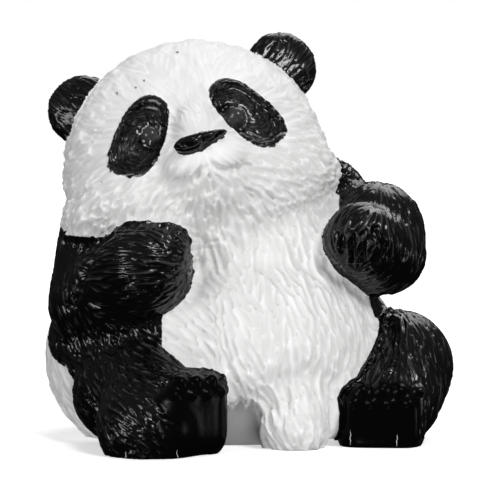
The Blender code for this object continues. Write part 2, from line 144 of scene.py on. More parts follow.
# Rows of toes along the top of each sole: how many, their size, how far down, and how deep they are sunk
ToeRow = namedtuple("ToeRow", "number radius drop sink")
TOE_ROWS = [ToeRow(5, 1.9, 2.6, 1.2), ToeRow(4, 1.5, 5.4, 0.9)]

# Grooves across the arms, as points in the figure's width and height: the crease of the right elbow, the
# edge of the left paw and the gaps between its fingers
ARM_GROOVES = [
    [(-33.7, 52.7), (-36.6, 50.2), (-40.3, 43.3), (-42.3, 37.5), (-44, 34)],
    [(30.7, 53.4), (33.1, 48.5), (31.6, 45.1), (28.3, 43.7), (24.4, 43.5)],
    [(22, 51.9), (22.7, 44.9)],
    [(24.6, 51.9), (25.1, 44.9)],
    [(27.3, 51.9), (27.5, 45.1)],
]
GROOVE_DEPTH = 1.3
GROOVE_REACH = 0.75
GROOVE_SKIN = 1
GROOVE_FRONT = -5

# Carved strokes: length, width and depth of the teardrop scoops on each part, coarse layers first; the broad
# locks all over come before them, and black fur gets only a share of their depth
Strokes = namedtuple("Strokes", "length width depth")
LOCKS = Strokes(13, 6.4, 0.6)
BLACK_LOCKS = 0.4
STROKES = {
    "forehead": [Strokes(8, 1.5, 0.24)],
    "cheeks": [Strokes(9.5, 1.7, 0.42)],
    "throat": [Strokes(5.8, 2.1, 0.74)],
    "belly": [Strokes(7, 2.3, 0.66)],
    "back": [Strokes(8, 2.6, 0.45)],
    "tuft": [Strokes(10, 4, 0.5), Strokes(6.5, 1.8, 0.5)],
    "arms": [Strokes(9.5, 1.4, 0.5)],
    "right_leg": [Strokes(4.4, 1.4, 0.55)],
    "left_leg": [Strokes(8.5, 1.4, 0.46)],
    "ears": [Strokes(6.5, 1.05, 0.26)],
    "patches": [Strokes(3.2, 0.8, 0.2)],
    "nose": [Strokes(3, 0.7, 0.14)],
}

# Where each kind of stroke starts and where the carving fades out, with heights and depths on the head in
# the head's own axes
FOREHEAD_FOOT = 14
FOREHEAD_BACK = 10
THROAT_TOP = -7
THROAT_RISE = 0.25
THROAT_BACK = -5
FUR_ROUND_PATCH = 1.12
FUR_IN_PATCH = 0.95
FUR_ON_NOSE = 0.3
LOCKS_ROUND_PATCH = 1.1
LOCKS_ROUND_NOSE = (0.5, 2.5)
MUZZLE = (2, 8)
MUZZLE_SHARE = 0.5
HEAD_SKIN = 1
SOLE_FUR = (1, 3)
EYEBALL_FUR = (0, 0.8)

# A scoop: the spacing of the places that scoops may start from, its smallest size and what the drawn share
# adds to that, how far it reaches, how much its run swings and bows, how it tapers, its half width, and how
# far round a bend it cuts; then how near to it, as shares of its length and width, no other one starts
SCOOP_SPACING = 0.35
SCOOP_SMALLEST = 0.75
SCOOP_SPREAD = 0.5
SCOOP_REACH = 0.6
SCOOP_SWING = 0.4
SCOOP_BOW = 0.16
SCOOP_TAPER = 5
SCOOP_HALF_WIDTH = 0.62
SCOOP_FACING = (0.2, 0.7)
GAP_ALONG = 0.5
GAP_ACROSS = 0.62

# The numbers that mix a grid cube's place into its drawn shares, and the salts that keep the draws apart
CUBE_MIX = ((127.1, 269.5, 113.5), (311.7, 183.3, 271.9), (74.7, 246.1, 124.6))
CUBE_SPREAD = 43758.5453
PLACE_SALT = 0.5
SIZE_SALT = 1.5
ORDER_SALT = 2.5

# Which way the fur runs: a direction, what is added to it along a stretch, and where across the width that
# stretch starts and ends; the pairs further down are such stretches too, in width, depth or height
Run = namedtuple("Run", "first added stretch")
TORSO_RUN = Run((0.15, 0, -1), (0.9, 0, 0.45), (8, -28))
LEFT_ARM_RUN = Run((0, -0.2, -1), (-0.7, 0, 0), (38, 26))
RIGHT_LEG_RUN = Run((0.35, -0.3, -0.7), (0.5, 0, 0), (-40, -25))
LEFT_LEG_RUN = Run((0, -0.3, -1), (-0.3, 0, 0), (40, 28))
TUFT_RUN = (0.25, 0, -1)
NAPE_RUN = (0, 0, -1.5)
NAPE = (5, 25)
UPPER_ARM_RUN = (0.25, -0.2, -1)
PAW_RUN = (0.9, -0.3, -0.05)
PAW = (-36, -18)
FOREARM = (-34, -24)
FOREARM_SLANT = 0.6
FAN_HEIGHT = (60, 30)
FAN_DEPTH = (0, -15)
FUR_ROUND_EYE = 1.05

# The run also swings from side to side in slow waves: how far, and how fast they turn in each direction
FLOW_SWING = 0.35
SWING_ACROSS = 0.45
SWING_BEND = 2
SWING_BEND_DEPTH = 0.2
SWING_BEND_HEIGHT = 0.31
SWING_DEPTH = 0.3
SWING_HEIGHT = 0.38

# Paint
WHITE_DULL = (0.87, 0.87, 0.87, 1)
WHITE_BRIGHT = (0.91, 0.91, 0.905, 1)
# Painted shade: the white paint turns this grey down in the carved hollows, where shade falls, by up to the
# share below
HOLLOW_SHADE = (0.45, 0.45, 0.44, 1)
HOLLOW_SHADE_SHARE = 0.42
HOLLOW_DEPTH = 0.6
HOLLOW_EDGE = 0.65
# Painted shade: the sunk base beside the tuft is painted this dark grey, as if in shadow
PAINTED_BASE_SHADE = (0.42, 0.42, 0.42, 1)
# Pale marks: painted glints round the right eyeball, and pale hairlines at the foot of each sole
GLINT_AND_LINE_PALE = (0.55, 0.55, 0.54, 1)
SPECK = (0.2, 0.2, 0.2, 1)
BLACK = (0.0015, 0.0015, 0.0015, 1)
# Painted highlight: the black paint is this lighter grey on the crests of the strokes and on the smooth
# eyeballs, and plain black in the hollows and on the soles
BLACK_RIDGE_HIGHLIGHT = (0.035, 0.035, 0.035, 1)
RIDGE_TOP = 0.02
RIDGE_FOOT = 0.42
WHITE_SHINE = 0.18
BLACK_SHINE = 0.38
SOLE_SHINE = 0.05
WHITE_ROUGHNESS = (0.52, 0.68)
BLACK_ROUGHNESS = (0.16, 0.3)
RAGGEDNESS = 1.1
PAINT_EDGE = 0.08
SOLE_PAINT = (3.5, 1.5)
GRAIN_STRENGTH = 0.25
GRAIN_DEPTH = 0.12

# Noise in the paint: how many turns in one per cent of the height, and how much detail
Noise = namedtuple("Noise", "scale detail")
RAG = Noise(0.55, 3)
CLOUD = Noise(0.12, 4)
GRAIN = Noise(1.1, 5)
WANDER_SCALE = 1.2

# Small marks on the front: the middle's place in width and height, and the half sizes; the pale ones are
# painted glints round the right eyeball and pale hairlines at the foot of each sole, the dark ones specks on
# white fur
Mark = namedtuple("Mark", "x z half_width half_height")
EYE_GLINTS_AND_SOLE_LINES = [
    Mark(-24.5, 78.7, 0.2, 0.5),
    Mark(-25.0, 78.1, 0.3, 0.25),
    Mark(-25.5, 77.7, 0.35, 0.2),
    Mark(-25.9, 77.0, 0.25, 0.5),
    Mark(-26.5, 76.4, 0.4, 0.2),
    Mark(-27.2, 76.8, 0.2, 0.4),
    Mark(-25.5, 74.6, 0.3, 0.3),
    Mark(-23.9, 74.3, 0.2, 0.6),
    Mark(-25.3, 73.6, 0.4, 0.15),
    Mark(-21.6, 77.2, 0.12, 1.2),
    Mark(-29.0, 0.9, 0.08, 1.0),
    Mark(-16.9, 1.1, 0.08, 1.2),
    Mark(24.7, 2.5, 0.08, 1.8),
    Mark(35.9, 1.9, 0.08, 1.4),
]
SPECKS = [
    Mark(-17.9, 96.6, 0.45, 0.25),
    Mark(-25.8, 89.4, 0.25, 0.25),
    Mark(-27.9, 87.7, 0.3, 0.2),
    Mark(-32.6, 86.3, 0.2, 0.35),
]
MARK_WANDER = 0.7
MARK_EDGE = (1.2, 0.8)
MARK_FRONT = -5

# The photograph's camera, and its frame in pixels
CAMERA_DISTANCE = 600
CAMERA_HEIGHT = 78.3
CAMERA_DOWN = 3
SENSOR = 36
FOCAL_PIXELS = 2369.4
IMAGE_SIDE = 500
MIDDLE_PIXEL = 249
CAMERA_SIGHT = 100

# Studio: the floor's half side, the glow that brings it to white, the surround's strength from low to high
# (each after the height of its direction, from -1 to 1) and the share of it that gloss mirrors; then the
# lamps by direction, strength and width in degrees, and whether gloss mirrors them
FLOOR_HALF = 4000
FLOOR_COLOUR = (0.9, 0.9, 0.9, 1)
FLOOR_ROUGHNESS = 0.9
FLOOR_GLOW = 0.5
PURE_WHITE = (1, 1, 1, 1)
SKY_LOW = (-0.2, 0.03)
SKY_HIGH = (1.0, 0.36)
SKY_GLOSS = 0.5
Lamp = namedtuple("Lamp", "name turn height strength width gloss")
LAMPS = [
    Lamp("key", 34, 42, 1.55, 14, True),
    Lamp("side", -50, 10, 1.2, 24, True),
    Lamp("front", 22, -24, 1.25, 60, False),
    Lamp("low", -18, -35, 0.15, 9, True),
    Lamp("right", 75, -5, 0.2, 12, True),
    Lamp("rim", 160, 50, 1.2, 40, True),
    Lamp("back", 190, -12, 0.9, 40, False),
]


def turned(turn):
    return Euler([math.radians(angle) for angle in turn]).to_matrix().to_4x4()


def head_matrix():
    """From the head's own axes (face towards -Y) to the figure's."""
    roll = Matrix.Rotation(math.radians(-HEAD_ROLL), 4, "Y")
    pitch = Matrix.Rotation(math.radians(-HEAD_PITCH), 4, "X")
    yaw = Matrix.Rotation(math.radians(HEAD_YAW), 4, "Z")
    return Matrix.Translation(HEAD_PLACE) @ yaw @ roll @ pitch


HEAD = head_matrix()


def on_head(place, radii, turn=(0, 0, 0)):
    """A ball given in the head's own axes."""
    whole = HEAD @ Matrix.Translation(place) @ turned(turn)
    return Ball(tuple(whole.translation), radii, tuple(math.degrees(a) for a in whole.to_euler()))


def pair_on_head(place, radii, turn, shift):
    """Two balls, mirrored about the head's middle plane, then both moved sideways by the shift."""
    x, y, z = place
    return [on_head((side * x + shift, y, z), radii, (0, 0, side * turn)) for side in (-1, 1)]


TORSO = [
    Ball((-7, 3, 20), (45.6, 36, 33)),
    Ball((2, -7, 25), (30, 28.5, 25)),
    Ball((2, -8, 8), (24, 17, 16)),
    Ball((-3, 4, 45), (36, 28, 27)),
]
SKULL = [
    on_head((0.8, 1, 3.5), (34.4, 30.5, 34.4)),
    on_head((0, -2, -4.5), (36.5, 29.5, 19.2)),
    on_head((0, -23, -4), (17, 10, 12)),
    on_head((0, -27.8, -3.4), (12, 9.6, 8.7)),
    on_head((0, -25, -9), (9.5, 8, 6.5)),
    on_head((0, -26, 5), (6.5, 8.5, 9)),
]
TUFT = Ball((11.2, -25, 7.5), (10, 10.5, 13))
EARS = pair_on_head(EAR_PLACE, EAR_RADII, EAR_TURN, EAR_SHIFT)
RIGHT_ARM = [
    Knob((-35.4, -6, 48.6), 12.9),
    Knob((-37.6, -10, 34.2), 12.9),
    Knob((-25.5, -26.5, 43.8), 12.0),
    Knob((-20, -28.5, 48.8), 6.4),
]
LEFT_SHOULDER = Ball((19.5, 4, 59.4), (11.4,) * 3)
LEFT_ARM = [
    Knob((31.7, -4, 51.8), 12.9),
    Knob((33.9, -9, 46.3), 10.8),
    Knob((27.4, -19.5, 50.8), 9.2),
]
RIGHT_LEG = [
    Knob((-30, -17, 13), 14),
    Knob((-24.5, -25, 17), 10.8),
    Knob((-23.5, -36, 6.8), 13.4),
]
LEFT_LEG = [
    Knob((37, -4, 17.5), 15),
    Knob((35.3, -14.5, 11), 12.6),
]
RIGHT_FOOT = Block((-15, -37, 9.3), (10.4, 6.5, 11), 6, (0, 0, 33))
LEFT_FOOT = Block((32.4, -21.3, 6.8), (11, 6.5, 9.6), 5.5, (0, 0, -4))
NOSE = [
    on_head(NOSE_PLACE, NOSE_RADII),
    on_head(NOSE_BRIDGE_PLACE, NOSE_BRIDGE_RADII),
    on_head(NOSE_WING_PLACE, NOSE_WING_RADII),
]
EYEBALLS = pair_on_head(EYEBALL_PLACE, (EYEBALL_RADIUS,) * 3, 0, EYEBALL_SHIFT)
ELBOW_CREASE = (-38, -18, 40)


def toes(foot):
    """Rows of small balls along the top of the sole; each row fits between the toes of the row above."""
    x, y, z = foot.halves
    whole = Matrix.Translation(foot.place) @ turned(foot.turn)
    gap = 2 * (x - TOE_ROWS[0].radius) / (TOE_ROWS[0].number - 1)
    balls = []
    for row in TOE_ROWS:
        up = max(foot.rounding - row.drop, 0)
        for number in range(row.number):
            across = gap * (number - (row.number - 1) / 2)
            over = max(abs(across) - x + foot.rounding, 0)
            behind = foot.rounding - math.sqrt(foot.rounding**2 - over**2 - up**2)
            place = Vector((across, behind + row.sink - y, z - row.drop))
            balls.append(Ball(tuple(whole @ place), (row.radius,) * 3))
    return balls


def add_ball(mesh, ball):
    shape = Matrix.Translation(ball.place) @ turned(ball.turn) @ Matrix.Diagonal((*ball.radii, 1))
    bmesh.ops.create_icosphere(mesh, subdivisions=4, radius=1, matrix=Matrix.Scale(SHARE, 4) @ shape)


def add_hull(mesh, balls):
    """The convex hull of some balls: a straight stretch of a limb, or a rounded block."""
    hull = bmesh.new()
    for ball in balls:
        add_ball(hull, ball)
    made = bmesh.ops.convex_hull(hull, input=hull.verts)
    spare = [v for v in made["geom_interior"] if isinstance(v, bmesh.types.BMVert)]
    bmesh.ops.delete(hull, geom=spare, context="VERTS")
    stretch = bpy.data.meshes.new("stretch")
    hull.to_mesh(stretch)
    hull.free()
    mesh.from_mesh(stretch)
    bpy.data.meshes.remove(stretch)


def add_limb(mesh, knobs):
    balls = [Ball(knob.place, (knob.radius,) * 3) for knob in knobs]
    for pair in zip(balls, balls[1:]):
        add_hull(mesh, pair)


def add_block(mesh, block):
    whole = Matrix.Translation(block.place) @ turned(block.turn)
    reach = [half - block.rounding for half in block.halves]
    signs = [(x, y, z) for x in (-1, 1) for y in (-1, 1) for z in (-1, 1)]
    corners = [Vector([s * r for s, r in zip(sign, reach)]) for sign in signs]
    add_hull(mesh, [Ball(tuple(whole @ corner), (block.rounding,) * 3) for corner in corners])


def applied(figure):
    """Replaces the object's mesh with its evaluated one and clears its modifiers."""
    graph = bpy.context.evaluated_depsgraph_get()
    mesh = bpy.data.meshes.new_from_object(figure.evaluated_get(graph))
    old = figure.data
    figure.modifiers.clear()
    figure.data = mesh
    bpy.data.meshes.remove(old)


def joined(figure, masses, voxel, steps):
    """Makes the masses the object's mesh, as one skin that is smooth where they meet."""
    masses.to_mesh(figure.data)
    masses.free()
    skin = figure.modifiers.new("one_skin", "REMESH")
    skin.mode = "VOXEL"
    skin.voxel_size = voxel * SHARE
    smooth = figure.modifiers.new("soft_joins", "SMOOTH")
    smooth.factor = 0.5
    smooth.iterations = steps
    applied(figure)


def points_of(mesh):
    """The mesh's points, in per cent of the height, and their normals."""
    points = np.empty(len(mesh.vertices) * 3)
    mesh.vertices.foreach_get("co", points)
    normals = np.empty(len(mesh.vertices) * 3)
    mesh.vertices.foreach_get("normal", normals)
    return points.reshape(-1, 3) / SHARE, normals.reshape(-1, 3)


def raise_points(mesh, heights):
    """Moves the points along their normals by heights in per cent of the figure's height."""
    points, normals = points_of(mesh)
    moved = (points + normals * heights[:, None]) * SHARE
    mesh.vertices.foreach_set("co", moved.ravel())
    mesh.update()


def ramp(values, start, end):
    """A smooth step from 0 at the start to 1 at the end, which may be the lower of the two."""
    share = np.clip((values - start) / (end - start), 0, 1)
    return share * share * (3 - 2 * share)


def unit(vectors):
    return vectors / np.maximum(np.linalg.norm(vectors, axis=-1, keepdims=True), 1e-9)


def in_axes(points, place, turn):
    return (points - np.array(place)) @ np.array(turned(turn).to_3x3())


def on_face(points):
    """The points in the head's own axes."""
    return (points - np.array(HEAD.translation)) @ np.array(HEAD.to_3x3())


def from_ball(points, ball):
    """About how far each point is outside the ball."""
    shares = in_axes(points, ball.place, ball.turn) / np.array(ball.radii)
    reach = np.linalg.norm(shares, axis=1)
    slope = np.linalg.norm(shares / np.array(ball.radii), axis=1)
    return reach * (reach - 1) / np.maximum(slope, 1e-9)


def from_block(points, block):
    inner = np.array(block.halves) - block.rounding
    outside = np.maximum(np.abs(in_axes(points, block.place, block.turn)) - inner, 0)
    return np.linalg.norm(outside, axis=1) - block.rounding


def from_limb(points, knobs):
    nearest = np.full(len(points), np.inf)
    for start, end in zip(knobs, knobs[1:]):
        foot = np.array(start.place)
        span = np.array(end.place) - foot
        part = np.clip((points - foot) @ span / (span @ span), 0, 1)
        radius = start.radius + (end.radius - start.radius) * part
        away = np.linalg.norm(points - foot - part[:, None] * span, axis=1) - radius
        nearest = np.minimum(nearest, away)
    return nearest


def from_parts(points):
    """How far each point is outside each part."""
    away = {
        "torso": np.min([from_ball(points, ball) for ball in TORSO], axis=0),
        "head": np.min([from_ball(points, ball) for ball in SKULL], axis=0),
        "tuft": from_ball(points, TUFT),
        "ears": np.min([from_ball(points, ear) for ear in EARS], axis=0),
    }
    limbs = {"right_arm": RIGHT_ARM, "left_arm": LEFT_ARM, "right_leg": RIGHT_LEG, "left_leg": LEFT_LEG}
    for name, knobs in limbs.items():
        away[name] = from_limb(points, knobs)
    away["left_arm"] = np.minimum(away["left_arm"], from_ball(points, LEFT_SHOULDER))
    away["right_leg"] = np.minimum(away["right_leg"], from_block(points, RIGHT_FOOT))
    away["left_leg"] = np.minimum(away["left_leg"], from_block(points, LEFT_FOOT))
    return away


def from_nose(points):
    return np.min([from_ball(points, ball) for ball in NOSE], axis=0)


def from_line(places, corners):
    """How far each place is from a line through the corners."""
    away = []
    for start, end in zip(np.array(corners, float), np.array(corners, float)[1:]):
        span = end - start
        part = np.clip((places - start) @ span / (span @ span), 0, 1)
        away.append(np.linalg.norm(places - start - part[:, None] * span, axis=1))
    return np.min(away, axis=0)


def patch_reach(points):
    """The distance from the middle of the nearer eye patch, as a share of its outline: 1 on its edge."""
    face = on_face(points)
    slant = math.radians(PATCH_SLANT)
    across = np.abs(face[:, 0]) - PATCH_PLACE[0]
    up = face[:, 2] - PATCH_PLACE[1]
    long = (across * math.sin(slant) - up * math.cos(slant)) / PATCH_HALF_LENGTH
    wide = (across * math.cos(slant) + up * math.sin(slant)) / (PATCH_HALF_WIDTH * (1 + PATCH_FLARE * long))
    reach = (np.abs(long) ** PATCH_FULLNESS + np.abs(wide) ** PATCH_FULLNESS) ** (1 / PATCH_FULLNESS)
    return np.where(face[:, 1] < PATCH_FRONT, reach, FAR)


def paint_margin(points):
    """How far each point is inside the black paint; it is below 0 where the paint is white."""
    away = from_parts(points)
    white = np.minimum(away["torso"], np.minimum(away["head"], away["tuft"]))
    black = np.min([away[name] for name in away if name not in ("torso", "head", "tuft")], axis=0)
    margin = white - black
    band = BAND_HALF_HEIGHT - np.abs(points[:, 2] - BAND_MIDDLE - BAND_SLOPE * points[:, 0])
    band = np.minimum(band, points[:, 1] - BAND_FRONT)
    band = np.minimum(band, away["head"] - away["torso"])
    crease = np.minimum(CREASE_REACH - away["right_arm"] - away["right_leg"], CREASE_END - points[:, 0])
    crease = np.maximum(crease, LEFT_CREASE_REACH - away["left_arm"] - away["left_leg"])
    patches = (1 - patch_reach(points)) * PATCH_HALF_WIDTH
    nose = NOSE_EDGE - from_nose(points)
    shoulder = np.minimum(SHOULDER_TOP - points[:, 2], SHOULDER_END - points[:, 0])
    shoulder = np.minimum(shoulder, SHOULDER_REACH - away["right_arm"])
    return np.max([margin, band, crease, patches, nose, shoulder], axis=0)


def raise_rims(mesh):
    """Raises a rim round each eye patch and along the left leg's black edge, with a groove inside it."""
    points, _ = points_of(mesh)
    away = from_parts(points)
    patch = (1 - patch_reach(points)) * PATCH_HALF_WIDTH
    leg = np.minimum(away["torso"], away["tuft"]) - away["left_leg"]
    leg = np.where(away["left_leg"] < LEG_RIM_REACH, leg, FAR)
    heights = np.zeros(len(points))
    for inside, rim in ((patch, PATCH_RIM), (leg, LEG_RIM)):
        heights += RIM_HEIGHT * np.exp(-(((inside - rim.crest) / rim.crest_width) ** 2))
        heights -= RIM_GROOVE * RIM_HEIGHT * np.exp(-(((inside - rim.groove) / rim.groove_width) ** 2))
    raise_points(mesh, heights)


def sole_reach(points):
    """How far each point is from the flat sole of the nearer foot."""
    away = []
    for foot in (RIGHT_FOOT, LEFT_FOOT):
        behind = in_axes(points, foot.place, foot.turn)[:, 1] + foot.halves[1]
        away.append(np.maximum(behind, from_block(points, foot)))
    return np.min(away, axis=0)


def round_patches(points):
    """Which way is straight outwards from the nearer eye patch's middle line."""
    step = 0.01
    reach = patch_reach(points)
    slopes = [patch_reach(points + step * np.eye(3)[axis]) - reach for axis in range(3)]
    return np.stack(slopes, axis=1) / step


def blend(first, second, share):
    """Goes from the first direction to the second as the share of each point goes from 0 to 1."""
    return np.array(first) * (1 - share[:, None]) + np.array(second) * share[:, None]


def turning(points, run, *shares):
    """A direction that changes across the figure's width, as far as the points' other shares let it."""
    change = ramp(points[:, 0], *run.stretch)
    for share in shares:
        change = change * share
    return np.array(run.first) + np.array(run.added) * change[:, None]


def part_flows(points):
    """Which way the fur of each part would run at each point."""
    x, y, z = points.T
    nose = np.array(HEAD @ Vector(FUR_ROOT))
    forearm = blend(unit(points - np.array(ELBOW_CREASE)), PAW_RUN, ramp(x, *PAW))
    return {
        "head": blend(unit(points - nose), NAPE_RUN, ramp(y, *NAPE)),
        "ears": unit(points - np.array(HEAD_PLACE)),
        "torso": turning(points, TORSO_RUN, ramp(z, *FAN_HEIGHT), ramp(y, *FAN_DEPTH)),
        "tuft": np.tile(TUFT_RUN, (len(points), 1)),
        "right_arm": blend(UPPER_ARM_RUN, forearm, ramp(x - FOREARM_SLANT * y, *FOREARM)),
        "left_arm": turning(points, LEFT_ARM_RUN),
        "right_leg": turning(points, RIGHT_LEG_RUN),
        "left_leg": turning(points, LEFT_LEG_RUN),
    }


def swings(points):
    """How far the fur's run swings to the side at each point."""
    x, y, z = points.T
    bend = SWING_BEND * np.sin(SWING_BEND_HEIGHT * z + SWING_BEND_DEPTH * y)
    return FLOW_SWING * np.sin(SWING_ACROSS * x + bend) * np.sin(SWING_HEIGHT * z - SWING_DEPTH * y)


def fur_flow(points, normals, away):
    """Which way the fur runs at each point, along the surface."""
    nearest = np.argmin(list(away.values()), axis=0)
    runs = part_flows(points)
    flow = np.zeros_like(points)
    for number, name in enumerate(away):
        here = nearest == number
        flow[here] = runs[name][here]
    patch = patch_reach(points) < FUR_ROUND_EYE
    flow[patch] = np.cross(normals, round_patches(points))[patch]
    flow -= normals * np.sum(flow * normals, axis=1, keepdims=True)
    flow = unit(flow) + swings(points)[:, None] * np.cross(normals, unit(flow))
    return unit(flow)


def drawn(cubes, salt):
    """Three numbers from 0 to 1 for each cube of a grid, the same at every run."""
    return np.modf(np.sin(cubes @ np.array(CUBE_MIX) + salt) * CUBE_SPREAD)[0] % 1


def scattered(points, spacing):
    """The shuffled numbers of some points: in each cube of a grid, the nearest to a place drawn there."""
    cubes = np.floor(points / spacing).astype(int)
    away = np.linalg.norm(points / spacing - cubes - drawn(cubes, PLACE_SALT), axis=1)
    order = np.lexsort((away, *cubes.T))
    first = np.ones(len(order), bool)
    first[1:] = np.any(np.diff(cubes[order], axis=0) != 0, axis=1)
    picked = order[first]
    return picked[np.argsort(drawn(cubes[picked], ORDER_SALT)[:, 0])]


def scooped(points, normals, flow, strokes, chosen, tree):
    """The depth at each point of teardrop scoops among the chosen points, with thin ridges between them."""
    heights = np.zeros(len(points))
    taken = np.zeros(len(points), bool)
    centres = np.flatnonzero(chosen)[scattered(points[chosen], SCOOP_SPACING * strokes.width)]
    sizes = SCOOP_SMALLEST + SCOOP_SPREAD * drawn(points[centres], SIZE_SALT)
    for centre, (size, deep, swing) in zip(centres, sizes):
        if taken[centre]:
            continue
        length = strokes.length * size
        found = tree.find_range(points[centre], SCOOP_REACH * length)
        near = np.array([number for _, number, _ in found])
        offset = points[near] - points[centre]
        aside = np.cross(normals[centre], flow[centre])
        run = flow[centre] + SCOOP_SWING * (swing - 1) * aside
        run /= np.linalg.norm(run)
        aside = np.cross(normals[centre], run)
        along = offset @ run / length
        part = np.clip(along + 0.5, 0, 1)
        bow = SCOOP_BOW * length * (swing - 1) * (2 * part - 1) ** 2
        across = (offset @ aside - bow) / (strokes.width * size)
        facing = normals[near] @ normals[centre]
        taken[near[((along / GAP_ALONG) ** 2 + (across / GAP_ACROSS) ** 2 < 1) & (facing > 0)]] = True
        drop = np.sqrt(np.maximum(part * (1 - part**SCOOP_TAPER), 1e-9))
        bowl = np.clip(1 - (across / (SCOOP_HALF_WIDTH * drop)) ** 2, 0, 1) * np.sqrt(part)
        bowl *= ramp(facing, *SCOOP_FACING)
        heights[near] = np.minimum(heights[near], -strokes.depth * deep * bowl)
    return heights


def tree_of(points):
    tree = kdtree.KDTree(len(points))
    for number, point in enumerate(points):
        tree.insert(point, number)
    tree.balance()
    return tree


def hollow_eyes(mesh):
    """Sinks the two eye patches inside their rims, with a deeper socket at each eyeball."""
    points, _ = points_of(mesh)
    heights = -PATCH_DEPTH * ramp(patch_reach(points), *PATCH_WALL)
    for ball in EYEBALLS:
        away = np.linalg.norm(points - np.array(ball.place), axis=1)
        heights -= SOCKET_DEPTH * ramp(away, SOCKET_RADIUS, SOCKET_RADIUS / 2)
    raise_points(mesh, heights)


def base_hollow(points):
    """How far into the hollows beside the tuft each point is, from 0 to 1."""
    x, y, z = points.T
    (right_start, right_end), (left_start, left_end) = BASE_HOLLOWS
    wall = BASE_HOLLOW_WALL
    lean = BASE_HOLLOW_LEAN * z
    right = ramp(x, right_start - wall, right_start) * ramp(x, right_end + wall - lean, right_end - lean)
    left = ramp(x, left_start - wall + lean, left_start + lean) * ramp(x, left_end + wall, left_end)
    fast, slow = BASE_HOLLOW_WAVES
    top = BASE_HOLLOW_TOP + BASE_HOLLOW_WAVE * np.sin(fast * x + np.sin(slow * x))
    below = ramp(top - z, -BASE_HOLLOW_LIP, BASE_HOLLOW_LIP)
    return np.maximum(right, left) * below * (y < BASE_HOLLOW_FRONT)


def hollow_base(mesh):
    """Sinks the smooth base between each foot and the tuft, under the lip of the belly's fur."""
    points, _ = points_of(mesh)
    away = from_parts(points)
    torso = away["torso"] - np.min([away[name] for name in away if name != "torso"], axis=0)
    raise_points(mesh, -BASE_HOLLOW_DEPTH * base_hollow(points) * ramp(torso, *BASE_HOLLOW_SKIN))


def groove_arms(mesh):
    """Cuts the grooves across the arms, as seen from the front."""
    points, _ = points_of(mesh)
    away = from_parts(points)
    arms = np.minimum(away["right_arm"], away["left_arm"])
    lines = np.min([from_line(points[:, [0, 2]], corners) for corners in ARM_GROOVES], axis=0)
    near = np.exp(-((lines / GROOVE_REACH) ** 2)) * (arms < GROOVE_SKIN) * (points[:, 1] < GROOVE_FRONT)
    raise_points(mesh, -GROOVE_DEPTH * near)


def groove_mouth(mesh):
    """Cuts the groove under the nose and the two curves of the mouth."""
    points, _ = points_of(mesh)
    face = on_face(points)
    half = np.clip(np.abs(face[:, 0]) / MOUTH_HALF_WIDTH, 0, 1)
    line = -MOUTH_DROP - MOUTH_SAG * np.sin(np.pi * half) - MOUTH_FALL * half
    lips = np.hypot(face[:, 2] - line, np.maximum(np.abs(face[:, 0]) - MOUTH_HALF_WIDTH, 0))
    half_drop = MOUTH_DROP / 2
    middle = np.hypot(face[:, 0], np.maximum(np.abs(face[:, 2] + half_drop) - half_drop, 0))
    near = np.exp(-((np.minimum(lips, middle) / MOUTH_REACH) ** 2))
    raise_points(mesh, -MOUTH_DEPTH * near * ramp(face[:, 1], *MOUTH_FRONT))


def stroke_areas(points, away):
    """Which points each kind of stroke starts from."""
    across, depth, up = on_face(points).T
    nearest = np.array(list(away))[np.argmin(list(away.values()), axis=0)]
    reach = patch_reach(points)
    head = (nearest == "head") & (reach > FUR_ROUND_PATCH)
    forehead = (up > FOREHEAD_FOOT) & (depth < FOREHEAD_BACK)
    throat = (up < THROAT_TOP + THROAT_RISE * np.abs(across)) & (depth < THROAT_BACK)
    torso = nearest == "torso"
    return {
        "forehead": head & forehead,
        "throat": head & throat,
        "cheeks": head & ~forehead & ~throat,
        "belly": torso & (points[:, 1] < 0),
        "back": torso & (points[:, 1] >= 0),
        "tuft": nearest == "tuft",
        "arms": (nearest == "right_arm") | (nearest == "left_arm"),
        "right_leg": nearest == "right_leg",
        "left_leg": nearest == "left_leg",
        "ears": nearest == "ears",
        "patches": reach < FUR_IN_PATCH,
        "nose": from_nose(points) < FUR_ON_NOSE,
    }


def furriness(points, away):
    """The share of the carving that each point gets: less on the muzzle, none on soles and eyeballs."""
    muzzle = MUZZLE_SHARE + (1 - MUZZLE_SHARE) * ramp(from_nose(points), *MUZZLE)
    share = np.maximum(muzzle, away["head"] > HEAD_SKIN) * ramp(sole_reach(points), *SOLE_FUR)
    share *= 1 - base_hollow(points)
    for ball in EYEBALLS:
        share *= ramp(from_ball(points, ball), *EYEBALL_FUR)
    return share


def carve_fur(mesh):
    """Cuts the broad locks, then the fine strokes of each part, whose last layer tells what lies hollow, for
    the painted shade in white hollows and the painted highlight on black crests.
    """
    points, normals = points_of(mesh)
    away = from_parts(points)
    flow = fur_flow(points, normals, away)
    tree = tree_of(points)
    furry = patch_reach(points) > LOCKS_ROUND_PATCH
    heights = scooped(points, normals, flow, LOCKS, furry, tree)
    heights *= ramp(from_nose(points), *LOCKS_ROUND_NOSE)
    heights *= np.where(paint_margin(points) > 0, BLACK_LOCKS, 1)
    hollow = np.zeros(len(points))
    for name, chosen in stroke_areas(points, away).items():
        for strokes in STROKES[name]:
            depths = scooped(points, normals, flow, strokes, chosen, tree)
            heights += depths
        hollow = np.maximum(hollow, np.clip(-depths / HOLLOW_DEPTH, 0, 1) ** HOLLOW_EDGE)
    share = furriness(points, away)
    keep_values(mesh, "hollow", hollow * share)
    raise_points(mesh, heights * share)


